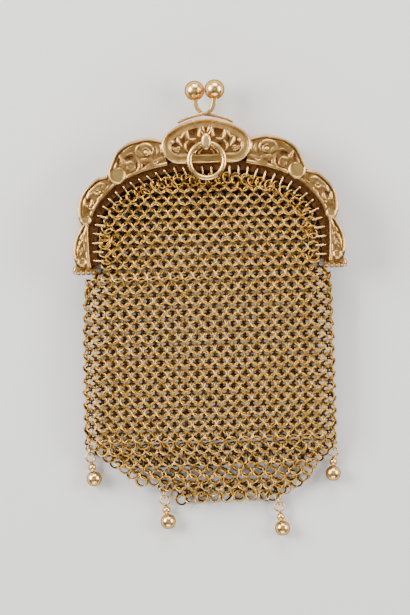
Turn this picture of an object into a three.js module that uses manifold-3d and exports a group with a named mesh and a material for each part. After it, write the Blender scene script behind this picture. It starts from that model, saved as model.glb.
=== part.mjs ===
// A gold ring-mesh coin purse, closed and lying on its back: the front faces +Z, the kiss-lock
// clasp points to +Y and the four ball drops to -Y. Millimetres, standing on z = 0.
import * as THREE from 'three';
import { mergeVertices } from 'three/addons/utils/BufferGeometryUtils.js';
import Module from 'manifold-3d';

const wasm = await Module();
wasm.setup();

// Frame: two stamped hollow halves on one hinge line
const frameHalfSpan = 29.8; // middle to the outer side of the lowest lobe
const archRise = 32.4; // hinge line to the top of the cartouche
const frameDepth = 9.6; // both halves, over the relief
const halfGap = 0.3; // between the two halves
const sheet = 0.8; // wall of the stamped halves
const relief = 0.7; // rims and ornament above the face
const rimWidth = 0.6;
const fieldDrop = 0.35; // cartouche field below the face of the lobes
const flangeDrop = 0.7; // flange below the face
const flangeTuck = 1.3; // flange outside the stitch line, under the lobes
const flangeLip = 0.7; // flange inside the stitch line
const stitchPitch = 2.0;
const stitchHole = 0.6;

// Cartouche: an arc over the top, round lower corners and a straight lower edge
const cartoucheHalfWidth = 9.8;
const cartoucheHeight = 9.85;
const cartoucheCorner = 3.85;
const cartoucheBand = 1.15; // plain band between the rim and the inner line
const lineWidth = 0.35;
const recessRadius = 1.15;
const recessDepth = 0.5;
const scrollWidth = 0.5; // scroll work of the cartouche
const pearlRadius = 0.75; // bead inside each scroll
const leafHalfLength = 1.3;
const leafHalfWidth = 0.4;
const berryRadius = 0.7; // bead between the blades

// Hinge
const hingeRadius = 1.05;
const knuckleCount = 4;
const knuckleWidth = 0.85;
const knuckleGap = 0.25;
const barrelInset = 0.4; // barrel end inside the frame's side
const pinRadius = 0.45;
const pinClearance = 0.2;
const capThickness = 0.6;
const capRadius = 0.95;
const headThickness = 0.25; // pin head at the inner end
const headRadius = 0.7;
const hingeClearance = 0.3; // frame and bag clear of the barrel

// Lug and carry ring
const ringMeanRadius = 3.8;
const ringWireRadius = 0.635;
const ringLift = 0.3; // wire above the rim crest
const lugHalfWidth = 1.15;
const lugHalfLength = 1.9;
const lugTopWall = 0.7;
const lugLowerWall = 0.65; // between the hole and the lug's lower end
const ringPlay = 0.315; // lug hole over the wire
const lugShare = 0.839; // place of the lug up the frame

// Kiss-lock clasp
const ballRadius = 2.2;
const ballOffset = 2.2; // ball centre from the middle
const ballRise = 6.45; // ball centre above the cartouche
const ballStagger = 1.0; // ball centre from the plane between the halves
const armWidth = 1.7;
const armGap = 0.5; // between the two arms
const armSeat = 0.3; // foot above the frame

// Bag of ring mesh, lying empty
const bagHalfWidth = 28.6;
const bagDrop = 52.3; // hinge line to the lower edge
const bagWall = 1.0;
const bagSeam = 0.3; // bag edge clear of the flange

// Drops and their links
const dropBallRadius = 1.67;
const dropBeadRadius = 0.86;
const dropNeckRadius = 0.35;
const dropNeck = 0.4; // eye to bead
const eyeRadius = 1.0;
const linkRadius = 0.8;
const eyeletRadius = 0.7;
const wireRadius = 0.2;
const wirePlay = 0.1;

const crest = frameDepth / 2;
const face = crest - relief;
const flangeTop = face - flangeDrop;
const flangeBottom = flangeTop - sheet;
const ringPlane = crest + ringLift + ringWireRadius;
const lugHoleRadius = ringWireRadius + ringPlay;

const gold = { color: 0xc79a57, metalness: 1, roughness: 0.3 };

// Outlines are shares of the frame's half span and rise, from the middle outwards; a volute's
// radius is a share of the half span.
const lobes = [
  {
    outer: [[0.325, 0.86], [0.43, 0.878], [0.535, 0.861], [0.609, 0.829], [0.672, 0.774], [0.727, 0.66],
      [0.731, 0.62]],
    inner: [[0.29, 0.69], [0.384, 0.673], [0.458, 0.655], [0.53, 0.632], [0.6, 0.605]],
    volute: { x: 0.661, y: 0.633, share: 0.067 },
    scroll: [[0.36, 0.75], [0.42, 0.8], [0.51, 0.8], [0.59, 0.745], [0.6, 0.68], [0.54, 0.665]],
    berries: [[0.438, 0.745], [0.49, 0.72]],
  },
  {
    outer: [[0.72, 0.635], [0.801, 0.619], [0.863, 0.574], [0.915, 0.52], [0.945, 0.462], [0.957, 0.398],
      [0.952, 0.347], [0.93, 0.3]],
    inner: [[0.64, 0.585], [0.712, 0.534], [0.764, 0.483], [0.812, 0.428], [0.845, 0.374], [0.86, 0.32]],
    volute: { x: 0.901, y: 0.339, share: 0.0436 },
    scroll: [[0.73, 0.57], [0.79, 0.575], [0.855, 0.52], [0.885, 0.45], [0.87, 0.4]],
    berries: [[0.8, 0.525], [0.85, 0.44]],
  },
  {
    outer: [[0.925, 0.31], [0.956, 0.258], [0.985, 0.2], [1, 0.139], [0.998, 0.085], [0.982, 0.04],
      [0.966, 0.018]],
    inner: [[0.865, 0.33], [0.884, 0.28], [0.886, 0.2], [0.884, 0.12], [0.88, 0.06], [0.872, 0.018]],
    volute: { x: 0.937, y: 0.057, share: 0.0386 },
    scroll: [[0.915, 0.26], [0.94, 0.21], [0.95, 0.15]],
    berries: [],
  },
];
const archLine = [[0, 0.671], [0.15, 0.671], [0.295, 0.661], [0.458, 0.617], [0.576, 0.574], [0.694, 0.503],
  [0.782, 0.408], [0.827, 0.313], [0.849, 0.204], [0.849, 0.1], [0.849, 0.03]];

// Cartouche ornament: places from its middle as shares of its half width and height, on one side
const cartoucheScroll = { x: 0.571, y: -0.03, widthShare: 0.179, heightShare: 0.162 };
const cartoucheRecess = { x: 0.306, y: 0.181 };
const cartoucheBlades = [
  [[0.041, -0.272], [0.165, -0.105], [0.251, -0.251]],
  [[0.041, -0.272], [0.329, -0.105], [0.435, -0.251]],
];
const leafShare = 0.19;
const berryShare = -0.36;

// Arm centre line: shares of the ball's offset and of its rise over the cartouche, and the half
// thickness as a share of the arm's width.
const armLine = [
  { x: -2.74, y: -0.1, share: 0.153 },
  { x: -2.2, y: -0.01, share: 0.159 },
  { x: -1.6, y: 0.065, share: 0.165 },
  { x: -0.6, y: 0.148, share: 0.176 },
  { x: 0.1, y: 0.2, share: 0.2 },
  { x: 0.6, y: 0.31, share: 0.25 },
  { x: 0.88, y: 0.5, share: 0.3 },
  { x: 0.95, y: 0.66, share: 0.324 },
  { x: 0.97, y: 0.8, share: 0.353 },
];

// Bag rows: drop below the hinge line as a share of the bag's drop, sides as shares of its half
// width, back and front surfaces as shares of the frame's depth.
const bagRows = [
  { drop: -0.5, left: 0.9, right: 0.9, back: 0.146, front: 0.854, square: 8 },
  { drop: 0.034, left: 0.9, right: 0.9, back: 0.09, front: 0.86, square: 6 },
  { drop: 0.05, left: 0.955, right: 0.92, back: 0.07, front: 0.855, square: 5 },
  { drop: 0.15, left: 0.98, right: 0.932, back: 0, front: 0.835, square: 3.6 },
  { drop: 0.32, left: 0.99, right: 0.934, back: 0, front: 0.81, square: 3.4 },
  { drop: 0.48, left: 0.995, right: 0.934, back: 0, front: 0.795, square: 3.4 },
  { drop: 0.62, left: 1, right: 0.932, back: 0, front: 0.74, square: 3.4 },
  { drop: 0.725, left: 1, right: 0.93, back: 0, front: 0.63, square: 3.4 },
  { drop: 0.75, left: 0.965, right: 0.93, back: 0, front: 0.61, square: 3.4 },
  { drop: 0.81, left: 0.83, right: 0.84, back: 0, front: 0.53, square: 3.2 },
  { drop: 0.9, left: 0.62, right: 0.72, back: 0, front: 0.42, square: 3 },
  { drop: 0.918, left: 0.47, right: 0.675, back: 0, front: 0.4, square: 3 },
  { drop: 0.93, left: 0.375, right: 0.645, back: 0, front: 0.385, square: 3 },
  { drop: 0.968, left: 0.32, right: 0.49, back: 0.01, front: 0.35, square: 3 },
  { drop: 1, left: 0.26, right: 0.29, back: 0.03, front: 0.3, square: 3 },
];

// Drops: eyelet centre as shares of the bag's half width and drop, lean from straight down in
// degrees.
const drops = [
  { x: -0.979, y: 0.746, lean: 7.6 },
  { x: -0.415, y: 0.936, lean: 7.3 },
  { x: 0.468, y: 0.979, lean: 6.8 },
  { x: 0.912, y: 0.753, lean: -2.3 },
];

function solidOf(geometry) {
  geometry.deleteAttribute('normal');
  geometry.deleteAttribute('uv');
  const merged = mergeVertices(geometry, 1e-4);
  const source = merged.index.array;
  const triangles = [];
  for (let i = 0; i < source.length; i += 3) {
    const [a, b, c] = [source[i], source[i + 1], source[i + 2]];
    if (a !== b && b !== c && c !== a) triangles.push(a, b, c);
  }
  return new wasm.Manifold(new wasm.Mesh({
    numProp: 3,
    vertProperties: new Float32Array(merged.attributes.position.array),
    triVerts: new Uint32Array(triangles),
  }));
}

function geometryOf(solid) {
  const mesh = solid.getMesh();
  const geometry = new THREE.BufferGeometry();
  geometry.setAttribute('position', new THREE.BufferAttribute(new Float32Array(mesh.vertProperties), 3));
  geometry.setIndex(new THREE.BufferAttribute(new Uint32Array(mesh.triVerts), 1));
  geometry.computeVertexNormals();
  return geometry;
}

function joined(solids) {
  return solids.reduce((all, solid) => all.add(solid));
}

function piece(name, solid) {
  const mesh = new THREE.Mesh(geometryOf(solid), new THREE.MeshStandardMaterial(gold));
  mesh.name = name;
  return mesh;
}

// Smooth points through a table of shares, on one side of the middle
function outline(rows, side, steps) {
  const points = rows.map(([x, y]) => new THREE.Vector2(side * x * frameHalfSpan, y * archRise));
  return new THREE.SplineCurve(points).getPoints(steps);
}

// Points moved towards their partners on another outline
function towards(points, partners, distance) {
  return points.map((point, i) => {
    const step = partners[i].clone().sub(point);
    return point.clone().add(step.setLength(distance));
  });
}

// Points moved sideways: to the left of the way they run for a positive distance
function beside(points, distance) {
  return points.map((point, i) => {
    const before = points[Math.max(i - 1, 0)];
    const after = points[Math.min(i + 1, points.length - 1)];
    const along = after.clone().sub(before).normalize();
    const shift = Array.isArray(distance) ? distance[i] : distance;
    return new THREE.Vector2(point.x - along.y * shift, point.y + along.x * shift);
  });
}

function raised(points, low, high) {
  const geometry = new THREE.ExtrudeGeometry(new THREE.Shape(points), {
    depth: high - low, bevelEnabled: false, steps: 1,
  });
  return solidOf(geometry.translate(0, 0, low));
}

function band(first, second, low, high) {
  return raised([...first, ...second.slice().reverse()], low, high);
}

function disc(x, y, radius, low, high, sides) {
  const geometry = new THREE.CylinderGeometry(radius, radius, high - low, sides);
  return solidOf(geometry.rotateX(Math.PI / 2).translate(x, y, (low + high) / 2));
}

function bead(x, y, z, radius, sides) {
  const geometry = new THREE.SphereGeometry(radius, sides, Math.ceil(sides / 2));
  return solidOf(geometry.rotateX(Math.PI / 2).translate(x, y, z));
}

function block(x0, x1, y0, y1, z0, z1) {
  const geometry = new THREE.BoxGeometry(x1 - x0, y1 - y0, z1 - z0);
  return solidOf(geometry.translate((x0 + x1) / 2, (y0 + y1) / 2, (z0 + z1) / 2));
}

// Cylinder along X at the hinge line
function barrel(x0, x1, radius, sides) {
  const geometry = new THREE.CylinderGeometry(radius, radius, x1 - x0, sides);
  return solidOf(geometry.rotateZ(Math.PI / 2).translate((x0 + x1) / 2, 0, 0));
}

// Cartouche outline, moved in by a distance: the top arc touches both corner arcs.
function cartouche(inset, cornerSteps = 4, topSteps = 8) {
  const top = archRise - inset;
  const bottom = archRise - cartoucheHeight + inset;
  const corner = cartoucheCorner - inset;
  const cornerX = cartoucheHalfWidth - cartoucheCorner;
  const cornerY = archRise - cartoucheHeight + cartoucheCorner;
  const reach = top - corner;
  const centreY = (reach ** 2 - cornerX ** 2 - cornerY ** 2) / (2 * (reach - cornerY));
  const meet = Math.atan2(cornerY - centreY, cornerX);
  const arc = (x, y, radius, from, to, steps) => new THREE.EllipseCurve(x, y, radius, radius, from, to)
    .getPoints(steps);
  return [
    new THREE.Vector2(-cornerX, bottom),
    ...arc(cornerX, cornerY, corner, -Math.PI / 2, meet, cornerSteps),
    ...arc(0, centreY, top - centreY, meet, Math.PI - meet, topSteps).slice(1),
    ...arc(-cornerX, cornerY, corner, Math.PI - meet, 1.5 * Math.PI, cornerSteps).slice(1, -1),
  ];
}

// The stitch line follows the arch all round; positive offsets go outwards, under the lobes.
function arch(offset) {
  const right = outline(archLine, 1, 11);
  const left = right.slice(1).map((point) => new THREE.Vector2(-point.x, point.y)).reverse();
  return beside([...left, ...right], offset);
}

function stitchHoles() {
  const middle = new THREE.SplineCurve(arch(0));
  const count = Math.round(middle.getLength() / stitchPitch);
  const holes = [];
  for (let i = 1; i < count; i += 1) {
    const spot = middle.getPointAt(i / count);
    const turn = middle.getTangentAt(i / count).angle();
    const geometry = new THREE.BoxGeometry(stitchHole, stitchHole, 4 * sheet).rotateZ(turn);
    holes.push(solidOf(geometry.translate(spot.x, spot.y, flangeTop)));
  }
  return holes;
}

// Volute: a rolled rim round a hollow eye with a bead
function volute(x, y, radius) {
  const profile = [[0, face - sheet], [radius, face - sheet], [0.85 * radius, crest],
    [0.5 * radius, face + relief / 6], [0, face + relief / 2]];
  const geometry = new THREE.LatheGeometry(profile.map(([r, z]) => new THREE.Vector2(r, z)), 8);
  return solidOf(geometry.rotateX(Math.PI / 2).translate(x, y, 0));
}

function knuckleRange(index) {
  const start = frameHalfSpan - barrelInset - (index + 1) * knuckleWidth - index * knuckleGap;
  return [start, start + knuckleWidth];
}

const lobeSteps = 6;
const barrelEnd = frameHalfSpan - barrelInset;
const barrelStart = knuckleRange(knuckleCount - 1)[0];

function lobeSolid(lobe, side) {
  const outer = outline(lobe.outer, side, lobeSteps);
  const inner = outline(lobe.inner, side, lobeSteps);
  return band(outer, inner, halfGap / 2, face);
}

function lobeHollow(lobe, side) {
  const outer = outline(lobe.outer, side, lobeSteps);
  const inner = outline(lobe.inner, side, lobeSteps);
  const shortened = (points) => points.slice(1, -1);
  const wallOuter = shortened(towards(outer, inner, sheet));
  const wallInner = shortened(towards(inner, outer, sheet));
  return band(wallOuter, wallInner, -halfGap, face - sheet);
}

function lobeRims(lobe, side) {
  const outer = outline(lobe.outer, side, lobeSteps);
  const inner = outline(lobe.inner, side, lobeSteps);
  const { x, y, share } = lobe.volute;
  const low = face - sheet / 2;
  return joined([
    band(outer, towards(outer, inner, rimWidth), low, crest),
    band(inner, towards(inner, outer, rimWidth), low, crest - relief / 3),
    volute(side * x * frameHalfSpan, y * archRise, share * frameHalfSpan),
  ]);
}

function lobeScroll(lobe, side) {
  const scroll = outline(lobe.scroll, side, 5);
  const parts = [
    band(beside(scroll, rimWidth / 2), beside(scroll, -rimWidth / 2), face - sheet / 2,
      crest - relief / 4),
  ];
  for (const [x, y] of lobe.berries) {
    parts.push(bead(side * x * frameHalfSpan, y * archRise, face, relief, 6));
  }
  return joined(parts);
}

const cartoucheMiddle = archRise - cartoucheHeight / 2;

function cartouchePoint([x, y], side) {
  return new THREE.Vector2(side * x * cartoucheHalfWidth, cartoucheMiddle + y * cartoucheHeight);
}

function cartoucheRelief() {
  const field = face - fieldDrop;
  const low = field - sheet / 2;
  const innerLine = cartouche(cartoucheBand + rimWidth);
  const innerCut = cartouche(cartoucheBand + rimWidth + lineWidth);
  let solid = raised(innerLine, low, face).subtract(raised(innerCut, low - sheet, crest));
  for (const side of [-1, 1]) {
    const { x, y } = cartouchePoint([cartoucheScroll.x, cartoucheScroll.y], side);
    const scroll = new THREE.EllipseCurve(x, y, cartoucheScroll.widthShare * cartoucheHalfWidth,
      cartoucheScroll.heightShare * cartoucheHeight, 0, 1.5 * Math.PI).getPoints(8);
    const ridge = band(beside(scroll, scrollWidth / 2), beside(scroll, -scrollWidth / 2), low,
      face + relief / 2);
    solid = solid.add(ridge).add(bead(x, y, field, pearlRadius, 6));
    for (const blade of cartoucheBlades) {
      solid = solid.add(raised(blade.map((point) => cartouchePoint(point, side)), low, face));
    }
  }
  const leafRoot = cartouchePoint([0, leafShare], 1);
  for (const turn of [-45, 0, 45]) {
    const leaf = new THREE.SphereGeometry(1, 6, 4).scale(leafHalfWidth, leafHalfLength, relief)
      .translate(0, 0.9 * leafHalfLength, 0).rotateZ(THREE.MathUtils.degToRad(turn));
    solid = solid.add(solidOf(leaf.translate(leafRoot.x, leafRoot.y, field)));
  }
  const berry = cartouchePoint([0, berryShare], 1);
  return solid.add(bead(berry.x, berry.y, field, berryRadius, 8));
}

function frameHalf(ownKnuckles) {
  const field = face - fieldDrop;
  const parts = [
    raised(cartouche(0), halfGap / 2, field),
    raised(cartouche(0), field - sheet, crest)
      .subtract(raised(cartouche(rimWidth), field - 2 * sheet, crest + sheet)),
    band(arch(flangeTuck), arch(-flangeLip), flangeBottom, flangeTop),
  ];
  const hollows = [raised(cartouche(sheet), -halfGap, field - sheet)];
  const others = [];
  for (const side of [-1, 1]) {
    for (const lobe of lobes) {
      parts.push(lobeSolid(lobe, side));
      hollows.push(lobeHollow(lobe, side));
    }
    for (let index = 0; index < knuckleCount; index += 1) {
      const [from, to] = knuckleRange(index).map((x) => side * x).sort((a, b) => a - b);
      if (index % 2 === ownKnuckles) {
        parts.push(barrel(from, to, hingeRadius, 12));
        parts.push(block(from, to, 0, hingeRadius + 2 * sheet, halfGap / 2, flangeTop));
      } else {
        others.push(barrel(from - knuckleGap, to + knuckleGap, hingeRadius + hingeClearance, 12));
      }
    }
  }
  let solid = joined(parts).subtract(joined(hollows));
  for (const side of [-1, 1]) {
    for (const lobe of lobes) solid = solid.add(lobeRims(lobe, side));
    const ends = [barrelStart - knuckleWidth, barrelEnd + 2 * knuckleWidth].map((x) => side * x)
      .sort((a, b) => a - b);
    solid = solid.subtract(barrel(ends[0], ends[1], pinRadius + pinClearance, 8));
  }
  return solid.subtract(joined(others));
}

const lugY = lugShare * archRise;
const pivotY = lugY - lugHalfLength + lugLowerWall + lugHoleRadius;

function lug() {
  const oval = new THREE.EllipseCurve(0, lugY, lugHalfWidth, lugHalfLength).getPoints(12).slice(0, -1);
  const shoulder = ringPlane + lugHoleRadius;
  const post = raised(oval, face - sheet, shoulder);
  const dome = new THREE.SphereGeometry(1, 12, 6).rotateX(Math.PI / 2)
    .scale(lugHalfWidth, lugHalfLength, lugTopWall).translate(0, lugY, shoulder);
  const hole = new THREE.CylinderGeometry(lugHoleRadius, lugHoleRadius, 4 * lugHalfWidth, 12)
    .rotateZ(Math.PI / 2).translate(0, pivotY, ringPlane);
  return post.add(solidOf(dome)).subtract(solidOf(hole));
}

function frameFront() {
  let solid = frameHalf(0).add(cartoucheRelief()).subtract(joined(stitchHoles()));
  for (const side of [-1, 1]) {
    for (const lobe of lobes) solid = solid.add(lobeScroll(lobe, side));
    const recess = cartouchePoint([cartoucheRecess.x, cartoucheRecess.y], side);
    const floor = face - fieldDrop - recessDepth;
    solid = solid.subtract(disc(recess.x, recess.y, recessRadius, floor, crest, 10));
  }
  return piece('frame_front', solid.add(lug()));
}

// The back half is plainer, with a raised panel in its cartouche.
function frameBack() {
  const panel = raised(cartouche(rimWidth + cartoucheBand), face - sheet, crest);
  const mesh = piece('frame_back', frameHalf(1).add(panel));
  mesh.rotation.y = Math.PI;
  return mesh;
}

function hingePin(name, side) {
  const inner = barrelStart - pinClearance;
  const outer = barrelEnd + pinClearance;
  const profile = [[0, inner - headThickness], [headRadius, inner - headThickness], [headRadius, inner],
    [pinRadius, inner], [pinRadius, outer], [capRadius, outer], [capRadius, outer + 0.4 * capThickness],
    [0.75 * capRadius, outer + 0.85 * capThickness], [0, outer + capThickness]];
  const geometry = new THREE.LatheGeometry(profile.map(([r, x]) => new THREE.Vector2(r, x)), 10);
  return piece(name, solidOf(geometry.rotateZ(-side * Math.PI / 2)));
}

function claspArm(name) {
  const centre = armLine.map(({ x, y }) => new THREE.Vector2(x * ballOffset, archRise + y * ballRise));
  const nearer = (best, point) => (point.distanceTo(centre[0]) < best.distanceTo(centre[0]) ? point : best);
  const foot = cartouche(0).reduce(nearer);
  centre[0].y = Math.max(centre[0].y, foot.y + armSeat);
  const line = new THREE.SplineCurve(centre).getPoints(14);
  const halves = line.map((point, i) => {
    const at = (i / (line.length - 1)) * (armLine.length - 1);
    const low = Math.min(Math.floor(at), armLine.length - 2);
    return armWidth * THREE.MathUtils.lerp(armLine[low].share, armLine[low + 1].share, at - low);
  });
  const strip = band(beside(line, halves), beside(line, halves.map((half) => -half)), armGap / 2,
    armGap / 2 + armWidth);
  const ball = bead(ballOffset, archRise + ballRise, ballStagger, ballRadius, 14);
  return piece(name, strip.add(ball));
}

function carryRing() {
  const geometry = new THREE.TorusGeometry(ringMeanRadius, ringWireRadius, 8, 24);
  return piece('carry_ring', solidOf(geometry.translate(0, pivotY - ringMeanRadius, ringPlane)));
}

// Closed skin through the bag's rows; a grow below zero gives the hollow.
function bagSkin(grow, sideGrow) {
  const around = 20;
  const positions = [];
  const index = [];
  const rows = bagRows.map((row) => ({ ...row }));
  rows.forEach((row, r) => {
    const last = r === rows.length - 1;
    const side = sideGrow(row);
    const left = -row.left * bagHalfWidth - side;
    const right = row.right * bagHalfWidth + side;
    const back = row.back * frameDepth - grow;
    const front = row.front * frameDepth + grow;
    const y = -row.drop * bagDrop - (last ? grow : 0);
    for (let i = 0; i < around; i += 1) {
      const angle = (i / around) * 2 * Math.PI;
      const round = (value) => Math.sign(value) * Math.abs(value) ** (2 / row.square);
      positions.push(
        (left + right) / 2 + (right - left) / 2 * round(Math.cos(angle)),
        y,
        (back + front) / 2 + (front - back) / 2 * round(Math.sin(angle)),
      );
    }
  });
  for (let r = 0; r < rows.length - 1; r += 1) {
    for (let i = 0; i < around; i += 1) {
      const j = (i + 1) % around;
      const [a, b, c, d] = [r * around + i, r * around + j, (r + 1) * around + j, (r + 1) * around + i];
      index.push(a, b, d, b, c, d);
    }
  }
  const end = (rows.length - 1) * around;
  for (let i = 1; i < around - 1; i += 1) {
    index.push(0, i + 1, i, end, end + i, end + i + 1);
  }
  const geometry = new THREE.BufferGeometry();
  geometry.setAttribute('position', new THREE.BufferAttribute(new Float32Array(positions), 3));
  geometry.setIndex(index);
  return solidOf(geometry);
}

function eyelet(place) {
  const geometry = new THREE.TorusGeometry(eyeletRadius, wireRadius, 5, 12);
  return solidOf(geometry.translate(place.x, place.y, place.z));
}

function meshBag() {
  const outside = bagSkin(0, () => 0);
  const inside = bagSkin(-bagWall, (row) => (row.square > 5 ? 2 * bagWall : -bagWall));
  const edge = arch(-flangeLip - bagSeam);
  const lowest = -2 * bagDrop;
  const plan = raised([
    new THREE.Vector2(-2 * bagHalfWidth, lowest),
    new THREE.Vector2(-2 * bagHalfWidth, -hingeRadius - hingeClearance),
    new THREE.Vector2(edge[0].x, -hingeRadius - hingeClearance),
    ...edge,
    new THREE.Vector2(edge[edge.length - 1].x, -hingeRadius - hingeClearance),
    new THREE.Vector2(2 * bagHalfWidth, -hingeRadius - hingeClearance),
    new THREE.Vector2(2 * bagHalfWidth, lowest),
  ], -frameDepth, 2 * frameDepth);
  const shell = outside.intersect(plan).subtract(inside);
  return piece('mesh_bag', joined([shell, ...drops.map((drop) => eyelet(eyeletPlace(drop)))]));
}

function eyeletPlace(drop) {
  return new THREE.Vector3(drop.x * bagHalfWidth, -drop.y * bagDrop, dropBallRadius);
}

function hangingFrame(drop, distance) {
  const group = new THREE.Group();
  const lean = THREE.MathUtils.degToRad(drop.lean);
  const place = eyeletPlace(drop);
  group.position.set(place.x + distance * Math.sin(lean), place.y - distance * Math.cos(lean), place.z);
  group.rotation.z = lean;
  return group;
}

// A link or eye hangs off its neighbour by the sum of the radii, less the wires and their play.
const linkStep = eyeletRadius + linkRadius - 2 * wireRadius - wirePlay;
const eyeStep = linkRadius + eyeRadius - 2 * wireRadius - wirePlay;

function dropLink(name, drop) {
  const group = hangingFrame(drop, linkStep);
  const geometry = new THREE.TorusGeometry(linkRadius, wireRadius, 6, 12).rotateY(Math.PI / 2);
  group.add(piece(name, solidOf(geometry)));
  return group;
}

function ballDrop(name, drop) {
  const distance = linkStep + eyeStep;
  const group = hangingFrame(drop, distance);
  const beadY = -eyeRadius - dropNeck - dropBeadRadius;
  const ballY = beadY - dropBeadRadius - dropBallRadius;
  const profile = [new THREE.Vector2(0, -eyeRadius), new THREE.Vector2(dropNeckRadius, -eyeRadius)];
  for (const [centre, radius, steps] of [[beadY, dropBeadRadius, 4], [ballY, dropBallRadius, 6]]) {
    for (let i = 1; i < steps; i += 1) {
      const angle = (i / steps) * Math.PI;
      profile.push(new THREE.Vector2(radius * Math.sin(angle), centre + radius * Math.cos(angle)));
    }
    if (centre === beadY) profile.push(new THREE.Vector2(dropNeckRadius, beadY - dropBeadRadius));
  }
  profile.push(new THREE.Vector2(0, ballY - dropBallRadius));
  const body = solidOf(new THREE.LatheGeometry(profile.reverse(), 10));
  const eye = solidOf(new THREE.TorusGeometry(eyeRadius, wireRadius, 5, 12));
  group.add(piece(name, body.add(eye)));
  return group;
}

// Pieces are placed from the hinge line and the plane between the halves; the whole is then
// set with its middle on the origin and its back on z = 0.
const purse = new THREE.Group();
const halves = new THREE.Group();
const backArm = claspArm('clasp_arm_back');
backArm.rotation.y = Math.PI;
halves.position.z = crest;
halves.add(frameFront(), frameBack(), hingePin('hinge_pin_left', -1), hingePin('hinge_pin_right', 1),
  claspArm('clasp_arm_front'), backArm, carryRing());
purse.add(halves, meshBag());
drops.forEach((drop, i) => {
  purse.add(dropLink(`drop_link_${i + 1}`, drop), ballDrop(`drop_${i + 1}`, drop));
});

const group = new THREE.Group();
group.add(purse);
group.updateMatrixWorld(true);
const box = new THREE.Box3().setFromObject(group, true);
purse.position.set(-(box.min.x + box.max.x) / 2, -(box.min.y + box.max.y) / 2, -box.min.z);
group.updateMatrixWorld(true);

export default group;
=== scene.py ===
"""The looks of a gold ring-mesh coin purse that lies on its back on a pale floor."""

import math

import bpy
import numpy as np
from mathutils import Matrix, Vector


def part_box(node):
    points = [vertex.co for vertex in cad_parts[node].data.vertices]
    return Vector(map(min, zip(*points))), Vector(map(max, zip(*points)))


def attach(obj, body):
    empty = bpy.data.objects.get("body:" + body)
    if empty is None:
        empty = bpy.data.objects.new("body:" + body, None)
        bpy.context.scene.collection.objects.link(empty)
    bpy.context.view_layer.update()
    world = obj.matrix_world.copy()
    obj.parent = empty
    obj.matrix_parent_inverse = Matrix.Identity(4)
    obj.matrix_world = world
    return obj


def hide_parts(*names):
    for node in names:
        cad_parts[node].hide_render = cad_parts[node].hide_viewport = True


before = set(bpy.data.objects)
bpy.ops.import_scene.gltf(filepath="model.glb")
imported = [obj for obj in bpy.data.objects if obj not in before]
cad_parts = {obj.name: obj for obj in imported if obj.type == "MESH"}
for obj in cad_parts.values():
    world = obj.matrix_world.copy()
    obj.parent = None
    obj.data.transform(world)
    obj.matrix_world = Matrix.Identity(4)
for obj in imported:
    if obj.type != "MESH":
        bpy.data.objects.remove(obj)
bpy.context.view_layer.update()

MM = 0.001
rng = np.random.default_rng(7)

# Places and sizes that follow the solids, in millimetres


def box_mm(node):
    low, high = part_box(node)
    return np.array(low) / MM, np.array(high) / MM


pin_low, pin_high = box_mm("hinge_pin_left")
front_low, front_high = box_mm("frame_front")
ring_low, ring_high = box_mm("carry_ring")
HINGE_Y = (pin_low[1] + pin_high[1]) / 2
MID_Z = (pin_low[2] + pin_high[2]) / 2
SPAN = front_high[0]
RISE = front_high[1] - HINGE_Y

# Heights above the plane between the halves
HALF_GAP = 0.15
CREST = MID_Z
GROUND = CREST - 0.45
FLANGE_TOP = CREST - 1.4
FLANGE_THICK = 0.8
FLANGE_TUCK = 1.3
FLANGE_LIP = 0.7
RIM_HALF = 0.26
BACK_BULGE = 0.4
CURVE_STEPS = 80

# Outlines as shares of the half span and the rise
LOBES = [
    {
        "outer": [(0.325, 0.86), (0.43, 0.878), (0.535, 0.861), (0.609, 0.829), (0.672, 0.774),
                  (0.727, 0.66), (0.731, 0.62)],
        "inner": [(0.29, 0.69), (0.384, 0.673), (0.458, 0.655), (0.53, 0.632), (0.6, 0.605)],
        "volute": (0.661, 0.633, 2.0), "rim_share": 0.9, "curl": (8, -292),
    },
    {
        "outer": [(0.72, 0.635), (0.801, 0.619), (0.863, 0.574), (0.915, 0.52), (0.945, 0.462),
                  (0.957, 0.398), (0.952, 0.347), (0.93, 0.3)],
        "inner": [(0.64, 0.585), (0.712, 0.534), (0.764, 0.483), (0.812, 0.428), (0.845, 0.374),
                  (0.86, 0.32)],
        "volute": (0.901, 0.339, 1.3), "rim_share": 0.84, "curl": (5, -270),
    },
    {
        "outer": [(0.925, 0.31), (0.956, 0.258), (0.985, 0.2), (1, 0.139), (0.998, 0.085), (0.982, 0.04),
                  (0.966, 0.018)],
        "inner": [(0.865, 0.33), (0.884, 0.28), (0.886, 0.2), (0.884, 0.12), (0.88, 0.06), (0.872, 0.018)],
        "volute": (0.937, 0.057, 1.15), "rim_share": 0.72, "curl": (20, -300),
    },
]
ARCH = [(0, 0.671), (0.15, 0.671), (0.295, 0.661), (0.458, 0.617), (0.576, 0.574), (0.694, 0.503),
        (0.782, 0.408), (0.827, 0.313), (0.849, 0.204), (0.849, 0.1), (0.849, 0.03)]
CARTOUCHE_HALF_WIDTH = 9.8
CARTOUCHE_HEIGHT = 9.85
CARTOUCHE_CORNER = 3.85
CARTOUCHE_BAND = 1.75
ROSETTE_Y = 107.8

# Mesh of rings
RING_RADIUS = 1.2
WIRE_RADIUS = 0.165
BACK_WIRE_RADIUS = 0.21
MESH_COLUMNS = 43
SHEET_REACH = 12
RING_PITCH = 2.75
ROW_PITCH = 1.364
RING_TILT = math.radians(25)
TUBE_TOP = -1.6
TUBE_BOTTOM = -38.0
STITCHES = 38
STITCH_HOLE = 0.34
STITCH_LENGTH, STITCH_HEIGHT, STITCH_WIRE = 2.3, 1.5, 0.215
BAG_WALL = 1.0
BAG_DROP = 52.3
BAG_HALF_WIDTH = 28.6
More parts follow.
